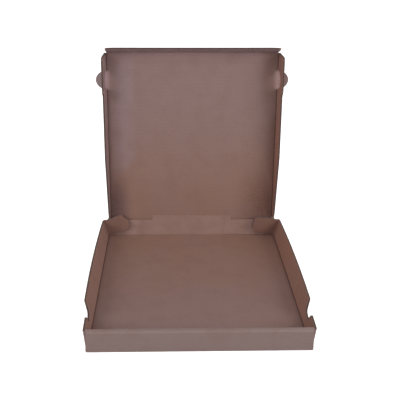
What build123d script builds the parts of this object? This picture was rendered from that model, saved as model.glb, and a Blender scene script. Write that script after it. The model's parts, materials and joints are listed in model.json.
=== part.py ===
from build123d import *
import os
from math import cos, radians, sin, sqrt, tan

os.makedirs("parts", exist_ok=True)

# A pizza box, die-cut from one sheet of corrugated board and folded up with no glue.
# Millimetres. The origin is the middle of the base, +X is to the right seen from the
# front, +Y is towards the hinge at the back, and +Z is up. The lid stands open.

# The sheet
board = 3.0                 # thickness of the corrugated board
layer_gap = 0.2             # air between two layers that only lie against each other
cut_gap = 0.4               # air between two edges that were cut apart
fold_radius = 2.5           # outside of the upright folds at the corners of the tray

# The tray
box_width = 330.0           # left to right over the bottom folds
box_length = 333.0          # front to back, longer by the rolled front wall's fold
front_height = 38.0         # from the table to the top of the rolled front wall
front_taper = 2.5           # how much the front panel narrows at each end, bottom to top
tab_length = 55.0           # front tab of a side wall, inside the rolled front wall
tab_corner = 8.0            # cut corner of that tab
lock_width = 30.0           # small lock tab under the rolled wall
lock_spacing = 150.0        # between the middles of the two lock tabs

# The side walls lean out by these angles, in degrees: upright at the front, where the
# rolled wall holds the tab, and springing out behind the notch, where nothing holds them
lean_front = 3.5
lean_spike = 5.0
lean_behind_notch = 16.0
lean_middle = 19.5
lean_back = 12.5
middle_from_back = 150.0    # where the lean is greatest, from the back of the box
wall_steps = 12             # even steps in which each side wall is laid out

# The notch in each side wall, which takes the lid's ear
spike_from_front = 34.0     # from the front of the box to the spike before the notch
notch_length = 43.5
notch_depth = 18.5
notch_front_run = 12.0      # along the box, over the notch's front slope
notch_rear_run = 9.5        # and over its steeper rear slope
notch_front_round = 2.5
notch_rear_round = 7.0

# The rear corner flaps: ends of the side walls, folded in and loose
flap_length = 44.5          # along its lower edge, from the corner to its free end
flap_end_slant = 18.5       # degrees by which the free end slopes outward, going up
left_flap_rise = 22.5       # degrees that the lower edge climbs away from the corner
right_flap_rise = 18.0
left_flap_swing = 5.0       # degrees that the flap stands away from the back wall
right_flap_swing = 12.0

# The hinge crease between the back wall and the lid
hinge_rise = 1.8            # the crease's axis above the top of the front wall
hinge_gap = 0.5             # air round the rounded top of the back wall
tongue_width = 152.0        # middle length of the crease, which lies higher
tongue_rise = 5.6

# The lid
lid_lean = 12.0             # degrees that the open lid leans back from upright
side_clearance = 0.3        # between the shut lid's side flaps and the side walls
swing_clearance = 0.6       # between the front flap's edge and the rolled wall it passes
side_flap_depth = 33.0
side_flap_lean = 5.0        # degrees that the side flaps open beyond square
side_flap_step = 5.0        # the flap is shallower behind the ear by this much
side_flap_back_depth = 12.0  # depth of the side flap at its hinge end
side_flap_start = 9.0       # from the hinge to the start of the side flaps
side_flap_front_run = 9.0   # the flap's front end slopes back over this length
side_flap_round = 6.0       # and rounds off into its free edge
front_flap_depth = 34.0
front_flap_lean = 9.5
front_flap_side_gap = 1.5   # from the side crease to the end of the front flap
front_flap_corner = 12.0    # sloping end of the front flap's free edge
front_flap_drop = 2.5       # how far the free edge slopes down at its ends
lip_width = 42.0            # two raised lengths of the front flap's free edge
lip_spacing = 240.0         # between the middles of the raised lengths
lip_rise = 1.0
ear_width = 33.0
ear_length = 19.5
ear_from_front = 48.0       # from the lid's front crease back to the middle of the ears
step_from_ear = 10.0        # from the back of the ear to the step in the side flap

# Worked out from the sizes above
half_width = box_width / 2
half_length = box_length / 2
floor_x = half_width - board            # inner line of the side folds
floor_y = half_length - board           # inner line of the front and back folds
wall_height = front_height - board      # side walls, up their slope from the floor
channel = board + 2 * layer_gap         # space for the tabs inside the rolled wall
front_wall = 2 * board + channel        # thickness of the rolled front wall
front_inside = front_wall - half_length  # the rolled wall's inner face
tab_front = layer_gap - floor_y          # front face of the trapped tabs
back_layer = floor_y - layer_gap         # back face of the corner flaps at their fold
hinge_y = half_length - board / 2
hinge_z = front_height + hinge_rise
mid = board / 2
knuckle = mid
lid_start = knuckle + hinge_gap         # from the hinge axis to the lid's rear edge
tongue_room = tongue_rise + hinge_gap   # from the hinge axis to the notch over the tongue
flap_top = front_height - layer_gap     # the shut lid passes over the corner flaps

swing_reach = hinge_y - front_inside - swing_clearance
front_flap_out = front_flap_depth * sin(radians(front_flap_lean)) + board
lid_length = sqrt(swing_reach**2 - front_flap_depth**2) - front_flap_out
side_flap_out = side_flap_depth * sin(radians(side_flap_lean)) + board
lid_half = floor_x - side_flap_out - side_clearance
ear_middle = lid_length - ear_from_front
ear_back = ear_middle - ear_width / 2

spike_y = spike_from_front - half_length
notch_back_y = spike_y + notch_length
notch_floor_z = front_height - notch_depth
middle_y = half_length - middle_from_back


def folded_wall(plane, corner_x, corner_y, lean, height, side=1):
    """Section of one fold and the wall beyond it. The wall leans out by lean degrees
    from square, its inner face starts at the corner, and the fold is round outside."""
    up = Vector(side * sin(radians(lean)), cos(radians(lean)))
    out = Vector(side * cos(radians(lean)), -sin(radians(lean)))
    half_turn = radians(90 - lean) / 2
    corner = Vector(corner_x, corner_y)
    below = corner - Vector(0, board)
    bend = corner + Vector(side * sin(half_turn), -cos(half_turn)) * board
    outer_low = corner + out * board
    inner_top = corner + up * height
    outer_top = inner_top + out * board
    with BuildSketch(plane) as section:
        with BuildLine():
            Polyline(below, corner, inner_top, outer_top, outer_low)
            ThreePointArc(outer_low, bend, below)
        make_face()
    return section.sketch


def across(y):
    """Upright plane across the box: its x is to the right and its y is up."""
    return Plane.XZ.offset(-y)


def eased(start, end, share):
    """Value on a smooth path from start to end, level at both of them."""
    return start + (end - start) * (3 - 2 * share) * share**2


def lean_at(y):
    """Lean of the side walls, in degrees, at this distance from the box's middle."""
    if y < spike_y:
        return lean_front + (lean_spike - lean_front) * (y - tab_front) / (spike_y - tab_front)
    if y < notch_back_y:
        return eased(lean_spike, lean_behind_notch, (y - spike_y) / notch_length)
    if y < middle_y:
        return lean_middle - (lean_middle - lean_behind_notch) * ((middle_y - y) / (middle_y - notch_back_y)) ** 2
    return lean_middle - (lean_middle - lean_back) * ((y - middle_y) / (back_layer - middle_y)) ** 2


def side_wall_sections(side):
    """A side wall cut across at even steps from its front end to its rear end."""
    step = (back_layer - tab_front) / wall_steps
    stations = [tab_front + step * count for count in range(wall_steps + 1)]
    return [
        folded_wall(across(y), side * floor_x, board, lean_at(y), wall_height, side)
        for y in stations
    ]


def front_tab(side):
    """Tab at a side wall's front end, folded in behind the front panel."""
    low = board + layer_gap
    high = front_height - board - layer_gap
    spread = tan(radians(lean_front))
    fold_low = half_width - fold_radius + (low - board) * spread
    fold_high = half_width - fold_radius + (high - board) * spread
    end = half_width - tab_length
    with BuildSketch(across(tab_front)) as outline:
        with BuildLine():
            Polyline(
                (side * fold_low, low),
                (side * (end + tab_corner), low),
                (side * end, low + tab_corner),
                (side * end, high - tab_corner),
                (side * (end + tab_corner), high),
                (side * fold_high, high),
                close=True,
            )
        make_face()
    return outline.sketch


def corner_flap(side, rise, swing):
    """Rear corner flap, on the plane of its back face, which holds the leaning fold line.
    The sketch's x runs along the flap from the box's corner, and its y is upward."""
    fold_line = Vector(side * sin(radians(lean_back)), 0, cos(radians(lean_back)))
    along = Vector(-side * cos(radians(swing)), -sin(radians(swing)), 0)
    climb = along * cos(radians(rise)) + Vector(0, 0, sin(radians(rise)))
    facing = climb.cross(fold_line).normalized()
    upward = facing.cross(climb)
    plane = Plane((side * half_width, back_layer, board), x_dir=climb, z_dir=facing)

    def rim(run):
        return (flap_top - board - run * climb.Z) / upward.Z

    fold_height = wall_height * fold_line.dot(upward)
    fold_run = wall_height * fold_line.dot(climb) + fold_radius
    slant = tan(radians(flap_end_slant))
    end_height = rim(flap_length) / (1 + slant * climb.Z / upward.Z)
    with BuildSketch(plane) as outline:
        with BuildLine():
            Polyline(
                (fold_radius, layer_gap),
                (flap_length, layer_gap),
                (flap_length + slant * end_height, end_height),
                (fold_run, min(fold_height, rim(fold_run))),
                close=True,
            )
        make_face()
    return outline.sketch


# Tray: floor, rolled front wall, side walls with tabs and corner flaps, back wall
with BuildPart() as tray:

    # Rolled front wall: up from the fold, over, down inside and onto the floor
    with BuildSketch(Plane.YZ) as rolled_section:
        with BuildLine():
            FilletPolyline(
                (board - floor_y, mid),
                (mid - half_length, mid),
                (mid - half_length, front_height - mid),
                (front_inside - mid, front_height - mid),
                (front_inside - mid, board + layer_gap),
                radius=mid + layer_gap,
            )
        trace(line_width=board)
    extrude(amount=half_width - layer_gap, both=True)

    # The front panel narrows towards its top. What rolls over fits between the side walls
    with BuildSketch(across(-floor_y)) as taper:
        for side in (-1, 1):
            with BuildLine():
                Polyline(
                    (side * half_width, 0),
                    (side * (half_width - layer_gap), 0),
                    (side * (half_width - layer_gap - front_taper), front_height),
                    (side * half_width, front_height),
                    close=True,
                )
            make_face()
    extrude(amount=board, mode=Mode.SUBTRACT)
    roll_end = floor_x - cut_gap
    with BuildSketch(across(front_inside)) as trimmed:
        for side in (-1, 1):
            with BuildLine():
                Polyline(
                    (side * roll_end, 0),
                    (side * roll_end, board),
                    (side * (roll_end + wall_height * tan(radians(lean_front))), front_height),
                    (side * box_width, front_height),
                    (side * box_width, 0),
                    close=True,
                )
            make_face()
    extrude(amount=front_wall - board, mode=Mode.SUBTRACT)

    # Floor, with a slot for each lock tab
    with BuildSketch() as floor_outline:
        Rectangle(2 * floor_x, 2 * floor_y)
    extrude(amount=board)
    with BuildSketch() as slots:
        with Locations((0, front_inside - mid)):
            with GridLocations(lock_spacing, 0, 2, 1):
                Rectangle(lock_width + 2 * cut_gap, board + 2 * cut_gap)
    extrude(amount=board, mode=Mode.SUBTRACT)
    with BuildSketch(Plane.XY.offset(cut_gap)) as locks:
        with Locations((0, front_inside - mid)):
            with GridLocations(lock_spacing, 0, 2, 1):
                Rectangle(lock_width, board)
    extrude(amount=2 * board)

    # Back wall, round along its top where the lid turns, with the tongue in the middle
    with BuildSketch(Plane.YZ) as back_section:
        with BuildLine():
            Line((floor_y, 0), (floor_y, hinge_z))
            ThreePointArc((floor_y, hinge_z), (hinge_y, hinge_z + knuckle), (half_length, hinge_z))
            Line((half_length, hinge_z), (half_length, board))
            RadiusArc((half_length, board), (floor_y, 0), board)
        make_face()
    extrude(amount=floor_x - cut_gap, both=True)
    with BuildSketch(Plane.XZ.offset(-half_length)) as tongue:
        with Locations((0, hinge_z)):
            Rectangle(tongue_width, tongue_rise, align=(Align.CENTER, Align.MIN))
    extrude(amount=board)

    # Side walls, rounded where their ends fold in, each with its notch
    for side in (-1, 1):
        wall = loft(side_wall_sections(side))
        end_lines = wall.edges().filter_by(lambda edge: abs(edge.length - wall_height) < layer_gap)
        for lines in end_lines.group_by(Axis.Y):
            outer_line = max(lines, key=lambda edge: side * edge.center().X)
            fillet(tray.edges().sort_by_distance(outer_line.center())[0], radius=fold_radius)
    with BuildSketch(Plane.YZ) as notch:
        with BuildLine():
            Polyline(
                (spike_y, front_height),
                (spike_y + notch_front_run, notch_floor_z),
                (notch_back_y - notch_rear_run, notch_floor_z),
                (notch_back_y, front_height),
                close=True,
            )
        make_face()
        fillet(notch.vertices().group_by(Axis.Y)[0].sort_by(Axis.X)[0], radius=notch_front_round)
        fillet(notch.vertices().group_by(Axis.Y)[0].sort_by(Axis.X)[-1], radius=notch_rear_round)
    extrude(amount=box_width, both=True, mode=Mode.SUBTRACT)

    # Front tabs and rear corner flaps
    for side in (-1, 1):
        extrude(front_tab(side), amount=-board)
    extrude(corner_flap(-1, left_flap_rise, left_flap_swing), amount=board)
    extrude(corner_flap(1, right_flap_rise, right_flap_swing), amount=-board)

tray.part.label = "tray"
export_step(tray.part, "parts/tray.step")

# The lid's own directions: along it from the hinge, and inward, towards what it covers
lid_up = Vector(0, sin(radians(lid_lean)), cos(radians(lid_lean)))
lid_in = Vector(0, -cos(radians(lid_lean)), sin(radians(lid_lean)))
hinge = Vector(0, hinge_y, hinge_z)


def lid_across(along):
    """Plane square to the lid, this far along it: x is to the right and y is inward."""
    return Plane(hinge + lid_up * along, x_dir=(1, 0, 0), z_dir=-lid_up)


lid_flat = Plane(hinge, x_dir=(1, 0, 0), z_dir=lid_in)      # x right, y along the lid
lid_side = Plane(hinge, x_dir=lid_up, z_dir=(1, 0, 0))      # x along the lid, y inward

# Lid: side flaps, then the panel with its ears, then the front flap
with BuildPart() as lid:

    # Front flap, with two raised lengths and sloping ends along its free edge
    extrude(
        folded_wall(lid_side, lid_length, mid, front_flap_lean, front_flap_depth),
        amount=lid_half,
        both=True,
    )
    flap_end = lid_half - front_flap_side_gap
    rim_low = mid + front_flap_depth - lip_rise
    with BuildSketch(lid_across(lid_length - board)) as front_outline:
        with BuildLine():
            Polyline(
                (-flap_end, -board),
                (-flap_end, rim_low - front_flap_drop),
                (front_flap_corner - flap_end, rim_low),
                (flap_end - front_flap_corner, rim_low),
                (flap_end, rim_low - front_flap_drop),
                (flap_end, -board),
                close=True,
            )
        make_face()
        with Locations((-lip_spacing / 2, rim_low), (lip_spacing / 2, rim_low)):
            Rectangle(lip_width, 2 * lip_rise)
    extrude(amount=-(front_flap_out + 2 * board), mode=Mode.INTERSECT)

    # Side flaps, folded a little past square
    for side in (-1, 1):
        fold = folded_wall(
            lid_across(side_flap_start), side * lid_half, mid, side_flap_lean, side_flap_depth, side
        )
        extrude(fold, amount=side_flap_start - lid_length)

    # Their outline: sloping front end, full depth past the ear, a step, then a long taper
    shallow = side_flap_depth - side_flap_step
    with BuildSketch(lid_side) as beyond_flap:
        with BuildLine():
            Polyline(
                (lid_length, mid),
                (lid_length - side_flap_front_run, side_flap_depth),
                (ear_back - step_from_ear + side_flap_step, side_flap_depth),
                (ear_back - step_from_ear, shallow),
                (ear_back / 2, shallow),
                (side_flap_start, side_flap_back_depth),
                (side_flap_start, 2 * side_flap_depth),
                (lid_length, 2 * side_flap_depth),
                close=True,
            )
        make_face()
        free_corner = (lid_length - side_flap_front_run, side_flap_depth)
        fillet(beyond_flap.vertices().sort_by_distance(free_corner)[0], radius=side_flap_round)
    extrude(amount=box_width, both=True, mode=Mode.SUBTRACT)

    # The hole that each ear leaves when it is cut out of its flap
    with BuildSketch(lid_side) as ear_hole:
        with Locations((ear_middle, mid)):
            Ellipse(ear_width / 2 + cut_gap, ear_length)
        with Locations((ear_middle, -mid)):
            Rectangle(ear_width + 2 * cut_gap, board + 2 * cut_gap)
    extrude(amount=box_width, both=True, mode=Mode.SUBTRACT)

    # Flat panel with an ear on each side, and room for the tongue at the hinge
    with BuildSketch(lid_flat.offset(-mid)) as panel:
        with Locations((0, lid_start)):
            Rectangle(2 * lid_half, lid_length - lid_start, align=(Align.CENTER, Align.MIN))
        with Locations((-lid_half, ear_middle), (lid_half, ear_middle)):
            Ellipse(ear_length, ear_width / 2)
        with Locations((0, tongue_room)):
            Rectangle(
                tongue_width + 2 * cut_gap,
                2 * tongue_room,
                align=(Align.CENTER, Align.MAX),
                mode=Mode.SUBTRACT,
            )
    extrude(amount=board)

lid.part.label = "lid"
export_step(lid.part, "parts/lid.step")
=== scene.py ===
import json
import math

import bpy
from mathutils import Matrix, Vector

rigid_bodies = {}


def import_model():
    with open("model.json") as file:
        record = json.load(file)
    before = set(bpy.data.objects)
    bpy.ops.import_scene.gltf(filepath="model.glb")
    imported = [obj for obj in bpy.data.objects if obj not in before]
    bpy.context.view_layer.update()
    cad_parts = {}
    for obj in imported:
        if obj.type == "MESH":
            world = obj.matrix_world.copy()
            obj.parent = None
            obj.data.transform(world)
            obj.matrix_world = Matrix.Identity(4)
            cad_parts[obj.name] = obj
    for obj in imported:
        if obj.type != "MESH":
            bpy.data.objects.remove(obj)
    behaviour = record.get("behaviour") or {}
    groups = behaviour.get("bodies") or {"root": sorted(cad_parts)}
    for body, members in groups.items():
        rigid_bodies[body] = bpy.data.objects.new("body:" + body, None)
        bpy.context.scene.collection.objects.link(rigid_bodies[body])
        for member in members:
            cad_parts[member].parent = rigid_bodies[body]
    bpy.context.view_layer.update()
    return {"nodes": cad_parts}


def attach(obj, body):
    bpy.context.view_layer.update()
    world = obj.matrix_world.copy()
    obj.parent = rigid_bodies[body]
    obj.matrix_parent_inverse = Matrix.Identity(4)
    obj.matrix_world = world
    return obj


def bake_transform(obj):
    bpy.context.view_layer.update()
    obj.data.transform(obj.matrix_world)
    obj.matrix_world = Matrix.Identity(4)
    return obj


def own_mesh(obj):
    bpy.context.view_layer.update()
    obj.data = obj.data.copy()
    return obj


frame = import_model()
scene = bpy.context.scene

# Camera
# Where the box is seen from: a little left of its middle, about 0.6 m in front of it and
# looking down. The small shift sets the box off the middle of the picture.
lens_data = bpy.data.cameras.new("view")
lens_data.sensor_width = 36.0
lens_data.lens = 49.922
lens_data.shift_x = 0.0508
lens_data.shift_y = -0.0006
lens_data.clip_end = 50.0
camera = bpy.data.objects.new("view", lens_data)
scene.collection.objects.link(camera)
eye = Vector((-0.04317, -0.78214, 0.55967))
heading, tip, roll = math.radians(1.209), math.radians(26.876), math.radians(0.270)
ahead = Vector((
    math.sin(heading) * math.cos(tip), math.cos(heading) * math.cos(tip), -math.sin(tip),
))
level = Vector((math.cos(heading), -math.sin(heading), 0.0))
upright = level.cross(ahead)
right = math.cos(roll) * level + math.sin(roll) * upright
above = -math.sin(roll) * level + math.cos(roll) * upright
camera.matrix_world = Matrix((
    (right.x, above.x, -ahead.x, eye.x),
    (right.y, above.y, -ahead.y, eye.y),
    (right.z, above.z, -ahead.z, eye.z),
    (0.0, 0.0, 0.0, 1.0),
))
scene.camera = camera


# Tray
# The lower half of the folded sheet: floor, front wall rolled over double, side walls and
# back wall. It is brown kraft corrugated board, matt, with fine fibres, soft blotches and
# the faint ribs of its fluting. It is painted darker along its pressed folds, partly for
# the pressed line and partly as painted shade in the corners there.
class Wire:
    """One socket of a material, so that sums on sockets read as sums."""

    def __init__(self, nodes, socket):
        self.nodes, self.socket = nodes, socket

    def math(self, operation, *others):
        node = self.nodes.nodes.new("ShaderNodeMath")
        node.operation = operation
        for place, value in enumerate((self,) + others):
            if isinstance(value, Wire):
                self.nodes.links.new(value.socket, node.inputs[place])
            else:
                node.inputs[place].default_value = value
        return Wire(self.nodes, node.outputs[0])

    def __add__(self, other): return self.math("ADD", other)
    def __radd__(self, other): return self.math("ADD", other)
    def __sub__(self, other): return self.math("SUBTRACT", other)
    def __rsub__(self, other): return (self * -1.0).math("ADD", other)
    def __mul__(self, other): return self.math("MULTIPLY", other)
    def __rmul__(self, other): return self.math("MULTIPLY", other)
    def __abs__(self): return self.math("ABSOLUTE")
    def __gt__(self, edge): return self.math("GREATER_THAN", edge)
    def __lt__(self, edge): return self.math("LESS_THAN", edge)
    def most(self, other): return self.math("MAXIMUM", other)


class Finish:
    """A material being wired up, on the place of each point of its piece."""

    def __init__(self, name):
        self.material = bpy.data.materials.new(name)
        self.material.use_nodes = True
        self.tree = self.material.node_tree
        self.shader = self.tree.nodes["Principled BSDF"]
        self.place = self.node("ShaderNodeTexCoord", {}, {}).outputs["Object"]
        split = self.node("ShaderNodeSeparateXYZ", {}, {0: self.place})
        self.x, self.y, self.z = (Wire(self.tree, split.outputs[axis]) for axis in range(3))

    def node(self, kind, settings, inputs):
        made = self.tree.nodes.new(kind)
        for name, value in settings.items():
            setattr(made, name, value)
        for name, value in inputs.items():
            socket = made.inputs[name]
            if isinstance(value, Wire):
                self.tree.links.new(value.socket, socket)
            elif isinstance(value, bpy.types.NodeSocket):
                self.tree.links.new(value, socket)
            else:
                socket.default_value = value
        return made

    def noise(self, scale, detail, stretch=(1.0, 1.0, 1.0), shift=(0.0, 0.0, 0.0)):
        spot = self.node(
            "ShaderNodeMapping", {}, {"Vector": self.place, "Scale": stretch, "Location": shift},
        )
        made = self.node(
            "ShaderNodeTexNoise", {}, {"Vector": spot.outputs[0], "Scale": scale, "Detail": detail},
        )
        return Wire(self.tree, made.outputs[0])

    def band(self, value, low, high, start=0.0, end=1.0):
        """Runs softly from start, where value is low, to end, where it is high."""
        made = self.node(
            "ShaderNodeMapRange", {"interpolation_type": "SMOOTHSTEP"},
            {0: value, 1: low, 2: high, 3: start, 4: end},
        )
        return Wire(self.tree, made.outputs[0])

    def line(self, value, at, width):
        """1 where value is at, fading to 0 within width on both sides."""
        return self.band(abs(value - at), 0.0, width, 1.0, 0.0)

    def mix(self, share, first, second):
        made = self.node("ShaderNodeMix", {"data_type": "RGBA"}, {0: share, 6: first, 7: second})
        return made.outputs[2]

    def halves(self, left, right):
        """One colour on the left half of the box and another on its right half."""
        return self.mix(self.x > 0.0, left, right)

    def link(self, value, name):
        socket = value.socket if isinstance(value, Wire) else value
        self.tree.links.new(socket, self.shader.inputs[name])


kraft_pink = (0.216, 0.138, 0.129, 1.0)
kraft_brown = (0.234, 0.126, 0.093, 1.0)
kraft_red = (0.272, 0.141, 0.106, 1.0)
back_wall_painted_light = (0.345, 0.215, 0.176, 1.0)
kraft_outer = (0.219, 0.158, 0.150, 1.0)
kraft_shade = (0.064, 0.026, 0.021, 1.0)
cloud_brown = (0.180, 0.100, 0.080, 1.0)
fibre_tan = (0.300, 0.200, 0.170, 1.0)
fleck_dark = (0.105, 0.058, 0.045, 1.0)
fleck_pale = (0.420, 0.310, 0.260, 1.0)
flute_pitch = 0.0065


def kraft(board, colour, across_flutes, folds):
    """Finishes board, whose plain colour is given, with what the whole sheet shows.
    across_flutes runs square to the fluting, in metres; folds is 1 along a fold."""
    blotch = board.noise(11.0, 4.0)
    cloud = board.noise(38.0, 3.0, shift=(0.4, 0.1, 0.7))
    fibre = board.noise(1100.0, 3.0, stretch=(1.0, 0.35, 0.35))
    fleck = board.noise(800.0, 1.0, stretch=(1.0, 0.3, 0.3), shift=(3.0, 1.0, 2.0))
    wave = (across_flutes * (2 * math.pi / flute_pitch)).math("SINE")
    colour = board.mix(board.band(blotch, 0.38, 0.66, 0.0, 0.30), colour, kraft_pink)
    colour = board.mix(board.band(cloud, 0.42, 0.70, 0.0, 0.22), colour, cloud_brown)
    colour = board.mix(board.band(fibre, 0.30, 0.70, 0.0, 0.26), colour, fibre_tan)
    colour = board.mix(board.band(fleck, 0.66, 0.76, 0.0, 0.30), colour, fleck_dark)
    colour = board.mix(board.band(fleck, 0.34, 0.24, 0.0, 0.14), colour, fleck_pale)
    colour = board.mix(board.band(wave, -1.0, 1.0, 0.0, 0.028), colour, kraft_shade)
    # Along the folds the colour is darkened, for the pressed line and as painted shade.
    colour = board.mix(folds * 0.80, colour, kraft_shade)
    board.link(colour, "Base Color")
    board.link(board.band(fibre + cloud * 0.5, 0.4, 1.1, 0.72, 0.94), "Roughness")
    board.shader.inputs["Specular IOR Level"].default_value = 0.25
    height = wave * 0.22 + fibre * 0.50 + cloud * 0.6 - folds * 1.5
    bump = board.node(
        "ShaderNodeBump", {}, {"Strength": 0.30, "Distance": 0.00012, "Height": height},
    )
    board.link(bump.outputs[0], "Normal")
    return board.material


floor_top = 0.0030
half_floor = 0.1620
front_inside, back_inside = -0.1570, 0.1635
floor_ruddy = (0.190, 0.082, 0.056, 1.0)
right_wall_brown = (0.252, 0.117, 0.080, 1.0)
flap_side_painted_light = (0.430, 0.272, 0.235, 1.0)
left_flap_brown = (0.205, 0.104, 0.080, 1.0)
right_flap_brown = (0.190, 0.086, 0.060, 1.0)
corner_painted_shade = (0.110, 0.044, 0.038, 1.0)

board = Finish("tray_kraft")
sideways = abs(board.x)
on_floor = board.z < floor_top + 0.0016
inner_side = (board.z > floor_top - 0.0001) * (board.y > front_inside - 0.0001)
inner_side = inner_side * (board.y < back_inside + 0.0002)
side_wall = (sideways > half_floor + 0.0001) * inner_side
back_wall = (board.y > back_inside - 0.0005) * inner_side * (sideways < half_floor - 0.0004)
corner_flap = (board.y > 0.1480) * (board.y < back_inside - 0.0003)
corner_flap = corner_flap * (board.z > floor_top + 0.0015) * (sideways > 0.115)

# The floor runs from pinkish at the front to brown at the back and redder to the right.
tone = board.mix(board.band(board.y, -0.16, 0.13), kraft_pink, kraft_brown)
tone = board.mix(board.band(board.x, 0.03, 0.16, 0.0, 0.30), tone, floor_ruddy)
tone = board.mix(side_wall, tone, board.halves(kraft_red, right_wall_brown))
# The back wall is painted paler all over: painted light.
tone = board.mix(back_wall, tone, back_wall_painted_light)
# The back wall is painted paler beside the corner flaps' ends: painted light over their shade.
by_flaps = board.line(board.x, 0.1130, 0.0230).most(board.line(board.x, -0.1150, 0.0200))
tone = board.mix(by_flaps * back_wall * 0.85, tone, flap_side_painted_light)
tone = board.mix(corner_flap * 0.85, tone, board.halves(left_flap_brown, right_flap_brown))
# Towards its free end the left corner flap is painted lighter: a painted highlight.
flap_end_highlight = board.band(board.x, -0.1400, -0.1270) * (board.x < -0.115) * corner_flap
tone = board.mix(flap_end_highlight * 0.45, tone, kraft_red)
# The floor by the left wall, just behind the front wall, is painted darker: a painted shadow.
by_left_wall = board.line(board.x, -0.1600, 0.0260) * board.line(board.y, -0.1150, 0.0300)
tone = board.mix(by_left_wall * on_floor * 0.35, tone, corner_painted_shade)
tone = board.mix(1.0 - inner_side, tone, kraft_outer)

# The folds of the floor are painted dark: a pressed line with a broad band of painted shade beside
# the side walls, and a faint line of painted shade at the back wall.
side_fold_shade = board.line(sideways, half_floor, 0.0023)
side_fold_shade = side_fold_shade.most(board.line(sideways, half_floor - 0.0008, 0.0080) * 0.22)
side_fold_shade = side_fold_shade * on_floor * inner_side
back_fold_shade = board.line(board.y, back_inside, 0.0012) * (board.z < floor_top + 0.0012) * 0.35
end_wall = (board.y < front_inside + 0.0010).most(board.y > back_inside - 0.0005)
across_flutes = board.y * (1.0 - end_wall) + board.z * end_wall
tray_kraft = kraft(board, tone, across_flutes, side_fold_shade.most(back_fold_shade))
tray = frame["nodes"]["tray"]
tray.data.materials.clear()
tray.data.materials.append(tray_kraft)


# Ends of the rear corner flaps
# The side walls' rear ends are folded in as loose flaps of the same board, with rounded
# free ends. Their tops spring up past the tray's rim, where nothing holds them while the
# lid is open.
def deselect():
    if bpy.context.object is not None and bpy.context.object.mode != "OBJECT":
        bpy.ops.object.mode_set(mode="OBJECT")
    bpy.ops.object.select_all(action="DESELECT")


board_thickness, half_board = 0.0030, 0.0015
hair = 0.00002
wall_end = 0.1633
flap_fold_lean = math.radians(12.5)


class FlapSheet:
    """The sheet of a corner flap: its foot at the corner, and the way up it and through it."""

    def __init__(self, side, rise, swing):
        rise, swing = math.radians(rise), math.radians(swing)
        fold = Vector((side * math.sin(flap_fold_lean), 0.0, math.cos(flap_fold_lean)))
        level_run = Vector((-side * math.cos(swing), -math.sin(swing), 0.0))
        self.climb = level_run * math.cos(rise) + Vector((0.0, 0.0, math.sin(rise)))
        facing = self.climb.cross(fold).normalized()
        self.upward = facing.cross(self.climb)
        self.inward = facing * -side
        self.foot = Vector((side * (half_floor + board_thickness), wall_end, floor_top))

    def place(self, x, z, depth):
        """The point of the sheet at this x and z, this deep behind its rear face."""
        dx, dz = x - self.foot.x, z - self.foot.z
        size = self.climb.x * self.upward.z - self.climb.z * self.upward.x
        run = (dx * self.upward.z - dz * self.upward.x) / size
        height = (self.climb.x * dz - self.climb.z * dx) / size
        return self.foot + self.climb * run + self.upward * height + self.inward * depth


def thicken(through):
    """Gives the flat face in hand the thickness of the board."""
    bpy.ops.object.mode_set(mode="EDIT")
    bpy.ops.mesh.select_all(action="SELECT")
    bpy.ops.mesh.extrude_region_move(TRANSFORM_OT_translate={"value": through})
    bpy.ops.mesh.select_all(action="SELECT")
    bpy.ops.mesh.normals_make_consistent(inside=False)
    bpy.ops.object.mode_set(mode="OBJECT")


def flap_sheet(name, sheet, outline):
    """A part of a flap, cut from the board by its outline in x and z."""
    deselect()
    bpy.ops.mesh.primitive_circle_add(vertices=len(outline), radius=0.02, fill_type="NGON")
    piece = bpy.context.object
    piece.name = name
    for vertex, (x, z) in zip(piece.data.vertices, outline):
        vertex.co = sheet.place(x, z, hair)
    thicken(sheet.inward * (board_thickness - 2 * hair))
    piece.data.materials.append(tray_kraft)
    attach(piece, "tray")
    return piece


left_sheet = FlapSheet(-1, 22.5, 5.0)
left_outline = [
    (-0.1213, 0.0373), (-0.1216, 0.0383), (-0.1238, 0.0414), (-0.1270, 0.0436),
    (-0.1301, 0.0457), (-0.1326, 0.0485), (-0.1344, 0.0502), (-0.1360, 0.0506),
    (-0.1404, 0.0497), (-0.1463, 0.0474), (-0.1522, 0.0448), (-0.1545, 0.0426),
    (-0.1562, 0.0410), (-0.1672, 0.0372),
]
left_end = [
    (-0.1244, 0.0206), (-0.1224, 0.0213), (-0.1208, 0.0234), (-0.1199, 0.0262),
    (-0.1196, 0.0294), (-0.1199, 0.0335), (-0.1213, 0.0374), (-0.1256, 0.0374),
]
left_top = flap_sheet("left_flap_top", left_sheet, left_outline)
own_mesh(left_top)
flap_sheet("left_flap_end", left_sheet, left_end)

right_sheet = FlapSheet(1, 18.0, 12.0)
right_outline = [
    (0.1190, 0.0373), (0.1196, 0.0408), (0.1206, 0.0441), (0.1219, 0.0465),
    (0.1241, 0.0477), (0.1310, 0.0472), (0.1431, 0.0449), (0.1515, 0.0430),
    (0.1543, 0.0414), (0.1570, 0.0400), (0.1665, 0.0372),
]
right_end = [
    (0.1241, 0.0175), (0.1220, 0.0191), (0.1199, 0.0212), (0.1184, 0.0238),
    (0.1177, 0.0268), (0.1177, 0.0320), (0.1190, 0.0374), (0.1240, 0.0374),
]
right_top = flap_sheet("right_flap_top", right_sheet, right_outline)
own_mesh(right_top)
flap_sheet("right_flap_end", right_sheet, right_end)


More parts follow.
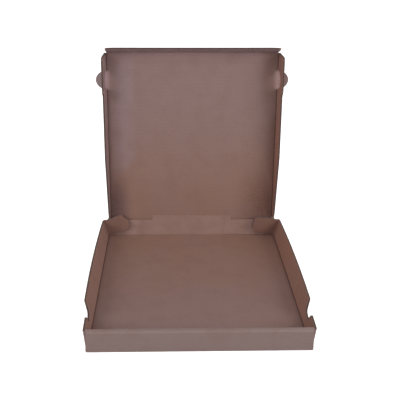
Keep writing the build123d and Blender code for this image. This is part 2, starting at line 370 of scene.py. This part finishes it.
# Lid
# The upper half of the same sheet: a flat panel with two side flaps, a round ear cut from
# each of them, and the front tuck flap. It leans back 12 degrees from upright.
hinge = Vector((0.0, 0.165, 0.0398))
lid_lean = math.radians(12.0)
lid_up = Vector((0.0, math.sin(lid_lean), math.cos(lid_lean)))
lid_in = Vector((0.0, -math.cos(lid_lean), math.sin(lid_lean)))
lid_length, lid_half, ear_middle = 0.31109, 0.15582, 0.26309
front_pink = (0.300, 0.196, 0.190, 1.0)
front_pale = (0.370, 0.241, 0.234, 1.0)
left_flap_pink = (0.262, 0.166, 0.168, 1.0)
right_flap_red = (0.250, 0.112, 0.082, 1.0)
tuck_pink = (0.308, 0.208, 0.224, 1.0)
left_ear_grey = (0.205, 0.152, 0.162, 1.0)
right_ear_grey = (0.160, 0.112, 0.112, 1.0)
strip_painted_light = (0.330, 0.226, 0.228, 1.0)
bluish_painted_light = (0.300, 0.218, 0.244, 1.0)
left_shade = (0.095, 0.046, 0.050, 1.0)
right_shade = (0.100, 0.036, 0.023, 1.0)
left_root_painted_light = (0.300, 0.196, 0.212, 1.0)
right_root_painted_light = (0.330, 0.212, 0.190, 1.0)

# The panel's inner face lies half the board in front of the hinge; the flaps stand on it.
board = Finish("lid_kraft")
along_lid = (board.y - hinge.y) * lid_up.y + (board.z - hinge.z) * lid_up.z
into_lid = (board.z - hinge.z) * lid_in.z + (board.y - hinge.y) * lid_in.y
sideways = abs(board.x)
panel_face = (into_lid < half_board + 0.0005) * (into_lid > 0.0)
off_panel = into_lid > half_board + 0.0005
side_flap = (sideways > lid_half - 0.0002) * off_panel
tuck_flap = (along_lid > lid_length - 0.0001) * off_panel
inner_side = (into_lid > 0.0) * (along_lid < lid_length + 0.0011 + into_lid * 0.167)
inner_side = inner_side * (sideways < lid_half + 0.0008 + into_lid * 0.0875)
ears = (sideways > 0.1605) * (abs(along_lid - ear_middle) < 0.0180)
ears = ears * panel_face * (into_lid > half_board - 0.0005)
by_ear = board.band(abs(along_lid - ear_middle), 0.0150, 0.0172, 1.0, 0.0)
low = board.band(along_lid, 0.020, 0.125, 1.0, 0.0)

# The panel runs from brown at the hinge to pinkish and pale at its front.
tone = board.mix(board.band(along_lid, 0.02, 0.24), kraft_brown, kraft_pink)
tone = board.mix(board.band(along_lid, 0.270, 0.300, 0.0, 0.35), tone, front_pink)
tone = board.mix(board.band(along_lid, 0.292, 0.3108), tone, front_pale)
tone = board.mix(side_flap, tone, board.halves(left_flap_pink, right_flap_red))
tone = board.mix(tuck_flap, tone, tuck_pink)
tone = board.mix(1.0 - inner_side, tone, kraft_outer)
tone = board.mix(ears, tone, board.halves(left_ear_grey, right_ear_grey))

# Two pale strips along the left are painted light, and both edges are painted in shade along
# the creases, most of all low on the right; the side flaps' inner faces are painted in shade low
# down.
light_strip = board.band(abs(board.x + 0.1360), 0.004, 0.024, 0.45, 0.0)
light_strip = light_strip * board.band(along_lid, 0.075, 0.110)
light_strip = light_strip * board.band(along_lid, 0.205, 0.240, 1.0, 0.0)
tone = board.mix(light_strip * panel_face, tone, strip_painted_light)
light_strip = board.band(abs(board.x + 0.1240), 0.008, 0.026, 0.34, 0.0)
light_strip = light_strip * board.band(along_lid, 0.090, 0.130)
tone = board.mix(light_strip * panel_face, tone, bluish_painted_light)
edge_right = board.line(board.x, 0.1575, 0.0240)
low_right = board.band(abs(board.x - 0.1575), 0.0200, 0.0850, 1.30, 0.0) * low
high_right = board.line(board.x, 0.1480, 0.0320) * board.band(along_lid, 0.205, 0.250)
edge_left = board.line(board.x, -0.1560, 0.0085) * 0.9
low_left = board.band(abs(board.x + 0.1570), 0.0150, 0.0470, 1.0, 0.0)
low_left = low_left * board.band(along_lid, 0.035, 0.095, 1.30, 0.0)
high_left = board.line(board.x, -0.1500, 0.0240) * board.band(along_lid, 0.215, 0.245, 0.0, 0.45)
crease_shade = edge_right.most(low_right).most(high_right).most(edge_left).most(low_left).most(high_left)
shade = board.halves(left_shade, right_shade)
tone = board.mix(crease_shade * panel_face * 0.68, tone, shade)
tone = board.mix(side_flap * inner_side * low * 0.35, tone, shade)
# Beside each ear the panel is painted pale: painted light where light comes through the hole that
# the ear leaves in its flap.
ear_root_light = by_ear * board.line(sideways, lid_half + 0.0004, 0.0090) * panel_face
tone = board.mix(ear_root_light * 0.95, tone, board.halves(left_root_painted_light, right_root_painted_light))

# The creases to the side flaps are painted dark, for the pressed line and as painted shade, except
# beside the ears, where the board is not folded.
side_fold_shade = board.line(sideways, lid_half, 0.0016) * (1.0 - by_ear)
side_fold_shade = side_fold_shade * (into_lid < 0.0034) * (into_lid > 0.0)
lid_kraft = kraft(board, tone, along_lid, side_fold_shade)
lid = frame["nodes"]["lid"]
lid.data.materials.clear()
lid.data.materials.append(lid_kraft)


# Hinge crease
# The pressed line between back wall and lid, where the sheet's skins run on from one to
# the other, bent round to the lid's lean. Its middle length lies higher, on the tongue.
skinned_board = 0.00314


def crease_skin(name, low, high, bend_low, bend_high, lengths):
    """Skin over the crease, from low on the back wall to high on the lid, both measured
    from the hinge. It leans back with the lid between bend_low and bend_high."""
    deselect()
    for count, (x_start, x_end) in enumerate(lengths):
        middle = ((x_start + x_end) / 2, 0.165, 0.0398 + (low + high) / 2)
        bpy.ops.mesh.primitive_cube_add(size=1.0, location=middle)
        bpy.context.object.scale = (x_end - x_start, skinned_board, high - low)
        bpy.context.object.name = f"{name}_{count}"
    made = [bpy.data.objects[f"{name}_{count}"] for count in range(len(lengths))]
    deselect()
    for part in made:
        part.select_set(True)
    bpy.context.view_layer.objects.active = made[0]
    bpy.ops.object.transform_apply(location=True, rotation=True, scale=True)
    if len(made) > 1:
        bpy.ops.object.join()
    piece = bpy.context.object
    piece.name = name
    bpy.ops.object.mode_set(mode="EDIT")
    rows = 10
    for row in range(rows + 1):
        height = hinge.z + bend_low + (bend_high - bend_low) * row / rows
        bpy.ops.mesh.select_all(action="SELECT")
        bpy.ops.mesh.bisect(plane_co=(0.0, 0.165, height), plane_no=(0.0, 0.0, 1.0))
    bpy.ops.object.mode_set(mode="OBJECT")
    for vertex in piece.data.vertices:
        up, back = vertex.co.z - hinge.z, vertex.co.y - hinge.y
        share = min(max((up - bend_low) / (bend_high - bend_low), 0.0), 1.0)
        turn = lid_lean * (3 - 2 * share) * share * share
        vertex.co.y = hinge.y + up * math.sin(turn) + back * math.cos(turn)
        vertex.co.z = hinge.z + up * math.cos(turn) - back * math.sin(turn)
    piece.data.materials.append(lid_kraft)
    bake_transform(piece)


side_lengths = [(-0.1558, -0.0759), (0.0759, 0.1558)]
crease_skin("side_crease", -0.0030, 0.0060, -0.0011, 0.0013, side_lengths)
crease_skin("tongue_crease", 0.0048, 0.0078, 0.0052, 0.0064, [(-0.0760, 0.0760)])


# Cut edges of the tray
# Where the board is cut across its fluting, the edge shows its two skins and the wavy paper
# between them, over a thin dark bed that is painted shade for the hollows; cut along the
# fluting, the same bed shows as one dark groove. The edges stand a third of a millimetre
# proud of the solid board.
edge_fray = (0.110, 0.062, 0.050, 1.0)


def edge_paper(name, colour):
    board = Finish(name)
    fray = board.noise(1500.0, 3.0)
    frayed = board.mix(board.band(fray, 0.3, 0.7, 0.0, 0.6), colour, edge_fray)
    board.link(frayed, "Base Color")
    board.link(board.band(fray, 0.2, 0.8, 0.80, 0.95), "Roughness")
    return board.material


edge_skins = edge_paper("edge_skins", (0.200, 0.128, 0.105, 1.0))
edge_hollow_shade = edge_paper("edge_hollow_shade", (0.040, 0.022, 0.018, 1.0))
skin_thickness, flute_thickness, bed_thickness = 0.00027, 0.00024, 0.00006
edge_depth, skin_proud, flute_proud, bed_proud = 0.0004, 0.00033, 0.00028, 0.00005
skin_reach, flute_reach, bed_reach = 0.90, 0.78, 0.84
edge_step = 0.0008


def edge_strip(places, thickness, material):
    """A strip of paper that stands on edge along places, which are pairs of points."""
    deselect()
    bpy.ops.mesh.primitive_grid_add(x_subdivisions=len(places) - 1, y_subdivisions=1, size=0.01)
    strip = bpy.context.object
    for count, (low, high) in enumerate(places):
        strip.data.vertices[count].co = low
        strip.data.vertices[count + len(places)].co = high
    wall = strip.modifiers.new("wall", "SOLIDIFY")
    wall.thickness = thickness
    wall.offset = 0.0
    bpy.ops.object.modifier_apply(modifier="wall")
    strip.data.materials.append(material)
    return strip


def cut_edge(corners, across_flutes):
    """The strips of one cut edge. corners are its turning points: the middle of the cut
    face, half the board through it, and the way it faces. across_flutes gives a point's
    place square to the fluting."""
    line = []
    for (first, half_first, face_first), (last, half_last, face_last) in zip(corners, corners[1:]):
        steps = max(1, round((last - first).length / edge_step))
        for step in range(steps):
            share = step / steps
            line.append((
                first.lerp(last, share), half_first.lerp(half_last, share),
                face_first.lerp(face_last, share).normalized(),
            ))
    line.append(corners[-1])
    coarse = line[::5] + ([line[-1]] if (len(line) - 1) % 5 else [])
    parts = []
    for side in (-1, 1):
        skin = []
        for at, half, face in coarse:
            middle = at + half * side * skin_reach
            skin.append((middle - face * edge_depth, middle + face * skin_proud))
        parts.append(edge_strip(skin, skin_thickness, edge_skins))
    flutes = []
    for at, half, face in line:
        swing = flute_reach * math.sin(2 * math.pi * across_flutes(at) / flute_pitch)
        middle = at + half * swing
        flutes.append((middle - face * edge_depth, middle + face * flute_proud))
    parts.append(edge_strip(flutes, flute_thickness, edge_skins))
    # A thin dark bed between the skins: painted shade in the hollows of the fluting.
    bed = []
    for at, half, face in coarse:
        middle = at + face * bed_proud
        bed.append((middle - half * bed_reach, middle + half * bed_reach))
    parts.append(edge_strip(bed, bed_thickness, edge_hollow_shade))
    return parts


def join_edges(name, parts):
    deselect()
    for part in parts:
        part.select_set(True)
    bpy.context.view_layer.objects.active = parts[0]
    bpy.ops.object.join()
    piece = bpy.context.object
    piece.name = name
    return piece


def rounded(points, radii):
    """A flat outline whose corners are rounded off by short curves."""
    out = [Vector(points[0])]
    for before, at, after, radius in zip(points, points[1:], points[2:], radii):
        before, at, after = Vector(before), Vector(at), Vector(after)
        if radius == 0.0:
            out.append(at)
            continue
        first, last = (before - at).normalized(), (after - at).normalized()
        reach = radius / math.tan(first.angle(last) / 2)
        start, end = at + first * reach, at + last * reach
        steps = 6
        for step in range(steps + 1):
            share = step / steps
            out.append((start.lerp(at, share)).lerp(at.lerp(end, share), share))
    out.append(Vector(points[-1]))
    return out


def outline_faces(points):
    """For each point of a flat outline, the way its edge faces, to the left of its run."""
    faces = []
    for count in range(len(points)):
        before = points[max(count - 1, 0)]
        after = points[min(count + 1, len(points) - 1)]
        run = (after - before).normalized()
        faces.append(Vector((-run.y, run.x)))
    return faces


wall_height = 0.0350
notch_front, notch_back, bow_middle = -0.1325, -0.0890, 0.0165


def wall_lean(y):
    """How far the side walls lean out here, in radians: more behind the notch."""
    if y < notch_front:
        lean = 3.5 + 1.5 * (y + wall_end) / (notch_front + wall_end)
    elif y < notch_back:
        share = (y - notch_front) / (notch_back - notch_front)
        lean = 5.0 + 11.0 * (3 - 2 * share) * share**2
    elif y < bow_middle:
        lean = 19.5 - 3.5 * ((bow_middle - y) / (bow_middle - notch_back)) ** 2
    else:
        lean = 19.5 - 7.0 * ((y - bow_middle) / (wall_end - bow_middle)) ** 2
    return math.radians(lean)


def rim_corner(side, y):
    lean = wall_lean(y)
    through = Vector((side * math.cos(lean), 0.0, -math.sin(lean))) * half_board
    up = Vector((side * math.sin(lean), 0.0, math.cos(lean)))
    return Vector((side * half_floor, y, floor_top)) + up * wall_height + through, through, up


def notch_corners(side):
    outline = rounded(
        [(-0.1323, 0.0377), (-0.1205, 0.0195), (-0.0985, 0.0195), (-0.08982, 0.0364)],
        [0.0025, 0.0070],
    )
    corners = []
    for (y, z), face in zip(outline, outline_faces(outline)):
        lean = wall_lean(y)
        half = half_board / math.cos(lean)
        x = side * (half_floor + (z - floor_top) * math.tan(lean) + half)
        corners.append((
            Vector((x, y, z)), Vector((side * half, 0.0, 0.0)), Vector((0.0, face.x, face.y)),
        ))
    return corners


front_slope = 0.0658
parts = []
for side in (-1, 1):
    rear_rim = [rim_corner(side, notch_back + 0.0104 * step) for step in range(25)]
    front_rim = [rim_corner(side, notch_front + 0.0075 * (step - 4)) for step in range(5)]
    for corners in (rear_rim, front_rim, notch_corners(side)):
        parts += cut_edge(corners, lambda at: at.y)
    through, face = Vector((0.0, half_board, 0.0)), Vector((side, 0.0, 0.0))
    back_end = [(Vector((side * 0.1616, 0.165, z)), through, face) for z in (0.0032, 0.0400)]
    parts += cut_edge(back_end, lambda at: at.z)
    face = Vector((side, 0.0, front_slope)).normalized()
    front_end = [
        (Vector((side * (0.1648 - front_slope * z), -0.165, z)), -through, face)
        for z in (0.0034, 0.0350)
    ]
    parts += cut_edge(front_end, lambda at: at.z)
tray_edges = join_edges("tray_cut_edges", parts)
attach(tray_edges, "tray")


# Cut edges of the rear corner flaps
# The flaps are cut out of the board all round, so their sprung tops and rounded ends show
# the same fluted edge. Each edge is a part of its flap.
def flap_corners(sheet, outline):
    """The cut edge that runs along an outline of a flap, in x and z."""
    count = len(outline)
    centre = sheet.place(
        sum(x for x, z in outline) / count, sum(z for x, z in outline) / count, half_board,
    )
    places = [sheet.place(x, z, half_board) for x, z in outline]
    corners = []
    for place, at in enumerate(places):
        run = (places[min(place + 1, count - 1)] - places[max(place - 1, 0)]).normalized()
        face = run.cross(sheet.inward).normalized()
        face = face if face.dot(at - centre) > 0 else -face
        corners.append((at, sheet.inward * half_board, face))
    return corners


for name, sheet, top, end in (
    ("left_flap", left_sheet, left_outline, left_end),
    ("right_flap", right_sheet, right_outline, right_end),
):
    parts = cut_edge(flap_corners(sheet, end[:-1]), lambda at: at.z * 0.2)
    edge = join_edges(name + "_end_edge", parts)
    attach(edge, "tray")
    parts = cut_edge(flap_corners(sheet, top), lambda at: at.x)
    edge = join_edges(name + "_top_edge", parts)
    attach(edge, "tray")
    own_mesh(edge)


# Roots of the lid's side flaps
# The side flaps run on down to the hinge, narrowing as they go. These last millimetres
# are pieces of their own.
side_flap_lean = math.radians(5.0)


def lid_flutes(at):
    return (at - hinge).dot(lid_up)


def side_flap_corners(side, outline):
    """The cut edge along an outline of a side flap, given along the lid and into it."""
    half = half_board / math.cos(side_flap_lean)
    corners = []
    for (along, inward), face in zip(outline, outline_faces(outline)):
        x = side * (lid_half + (inward - half_board) * math.tan(side_flap_lean) + half)
        at = hinge + lid_up * along + lid_in * inward + Vector((x, 0.0, 0.0))
        through = Vector((side * half, 0.0, 0.0))
        corners.append((at, through, lid_up * face.x + lid_in * face.y))
    return corners


root_outline = [
    Vector(point)
    for point in ((0.0026, 0.0010), (0.0028, 0.0060), (0.0050, 0.0098), (0.0090, 0.0118))
]


def flap_root(name, side):
    """The root of one side flap, with its own cut edge."""
    deselect()
    bpy.ops.mesh.primitive_circle_add(vertices=5, radius=0.02, fill_type="NGON")
    root = bpy.context.object
    outline = root_outline + [Vector((0.0094, 0.0010))]
    for vertex, (along, inward) in zip(root.data.vertices, outline):
        x = side * (lid_half + (inward - half_board) * math.tan(side_flap_lean) + hair)
        vertex.co = hinge + lid_up * along + lid_in * inward + Vector((x, 0.0, 0.0))
    thicken((side * (board_thickness - 0.00003), 0.0, 0.0))
    root.data.materials.append(lid_kraft)
    root = join_edges(name, [root] + cut_edge(side_flap_corners(side, root_outline), lid_flutes))
    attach(root, "lid")
    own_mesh(root)


# Cut edges of the lid
# The lid shows its fluted edge along both side flaps above their roots, round the holes
# that the ears leave in them, round the ears, and along the tuck flap with its two raised
# lengths. It is the same board and the same cut as the tray's.
flap_outline = rounded(
    [
        (0.0090, 0.0118), (0.0093, 0.0120), (0.1233, 0.0280), (0.2366, 0.0280),
        (0.2416, 0.0330), (0.3021, 0.0330), (0.3109, 0.0020),
    ],
    [0.0, 0.0, 0.0, 0.0, 0.0060],
)
ear_reach, ear_half, hole_half = 0.0195, 0.0165, 0.0169
hole_outline = [
    Vector((ear_middle + hole_half * math.cos(turn), half_board + ear_reach * math.sin(turn)))
    for turn in (math.radians(angle) for angle in range(8, 173, 6))
]
parts = []
for name, side in (("left_lid_flap_root", -1), ("right_lid_flap_root", 1)):
    flap_root(name, side)
    parts += cut_edge(side_flap_corners(side, flap_outline), lid_flutes)
    parts += cut_edge(side_flap_corners(side, hole_outline), lid_flutes)
    outward = Vector((side, 0.0, 0.0))
    ear = []
    for angle in range(-72, 73, 6):
        sine, cosine = math.sin(math.radians(angle)), math.cos(math.radians(angle))
        at = hinge + lid_up * (ear_middle + ear_half * sine)
        at = at + outward * (lid_half + ear_reach * cosine)
        face = (lid_up * (sine / ear_half) + outward * (cosine / ear_reach)).normalized()
        ear.append((at, lid_in * half_board, face))
    parts += cut_edge(ear, lid_flutes)

tuck_half, tuck_lean = lid_half - half_board, math.radians(9.5)
tuck_outline = [
    Vector(point) for point in (
        (-tuck_half, 0.0030), (-tuck_half, 0.0320), (0.0120 - tuck_half, 0.0345),
        (-0.1412, 0.0345), (-0.1408, 0.03505), (-0.0992, 0.03505), (-0.0988, 0.0345),
        (0.0988, 0.0345), (0.0992, 0.03505), (0.1408, 0.03505), (0.1412, 0.0345),
        (tuck_half - 0.0120, 0.0345), (tuck_half, 0.0320), (tuck_half, 0.0030),
    )
]
tuck = []
for (x, inward), face in zip(tuck_outline, outline_faces(tuck_outline)):
    half = half_board / math.cos(tuck_lean)
    along = lid_length + (inward - half_board) * math.tan(tuck_lean) + half
    at = hinge + lid_up * along + lid_in * inward + Vector((x, 0.0, 0.0))
    tuck.append((at, lid_up * half, Vector((face.x, 0.0, 0.0)) + lid_in * face.y))
parts += cut_edge(tuck, lambda at: (at - hinge).dot(lid_in))
lid_edges = join_edges("lid_cut_edges", parts)
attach(lid_edges, "lid")


# Floor and light
# A plain white floor, a pale room all round, and four large soft lamps: one to the left,
# one to the right, and weaker ones above the front and behind. The camera sees the floor
# and the room as white.
deselect()
bpy.ops.mesh.primitive_plane_add(size=30.0, location=(0.0, 0.0, -0.0002))
floor = bpy.context.object
floor.name = "floor"
white = Finish("floor_white")
white.shader.inputs["Base Color"].default_value = (0.8, 0.8, 0.8, 1.0)
white.shader.inputs["Roughness"].default_value = 0.9
floor.data.materials.append(white.material)
seen = white.node("ShaderNodeLightPath", {}, {}).outputs["Is Camera Ray"]
glow = white.node("ShaderNodeEmission", {}, {0: (1.0, 1.0, 1.0, 1.0), 1: 0.72})
lit = white.shader.outputs[0]
both = white.node("ShaderNodeAddShader", {}, {0: lit, 1: glow.outputs[0]})
pick = white.node("ShaderNodeMixShader", {}, {0: seen, 1: lit, 2: both.outputs[0]})
white.tree.links.new(pick.outputs[0], white.tree.nodes["Material Output"].inputs[0])

room = bpy.data.worlds.new("room")
scene.world = room
room.use_nodes = True
air = room.node_tree
backdrop = air.nodes["Background"]
backdrop.inputs[0].default_value = (1.0, 1.0, 1.0, 1.0)
backdrop.inputs[1].default_value = 0.385
plain = air.nodes.new("ShaderNodeBackground")
plain.inputs[0].default_value = (1.0, 1.0, 1.0, 1.0)
plain.inputs[1].default_value = 1.0
path = air.nodes.new("ShaderNodeLightPath")
choose = air.nodes.new("ShaderNodeMixShader")
air.links.new(path.outputs["Is Camera Ray"], choose.inputs[0])
air.links.new(backdrop.outputs[0], choose.inputs[1])
air.links.new(plain.outputs[0], choose.inputs[2])
air.links.new(choose.outputs[0], air.nodes["World Output"].inputs[0])

middle_of_box = Vector((0.0, 0.05, 0.1))
for name, place, size, power in (
    ("left_lamp", (-1.5, -0.7, 1.0), 1.0, 15.0),
    ("right_lamp", (1.5, -0.7, 1.0), 1.0, 18.0),
    ("front_lamp", (0.0, -1.4, 1.5), 1.5, 8.0),
    ("back_lamp", (0.3, 1.8, 1.4), 1.3, 9.0),
):
    soft = bpy.data.lights.new(name, "AREA")
    soft.size = size
    soft.energy = power
    lamp = bpy.data.objects.new(name, soft)
    scene.collection.objects.link(lamp)
    lamp.location = place
    lamp.rotation_euler = (middle_of_box - lamp.location).to_track_quat("-Z", "Y").to_euler()

scene.view_settings.view_transform = "Standard"
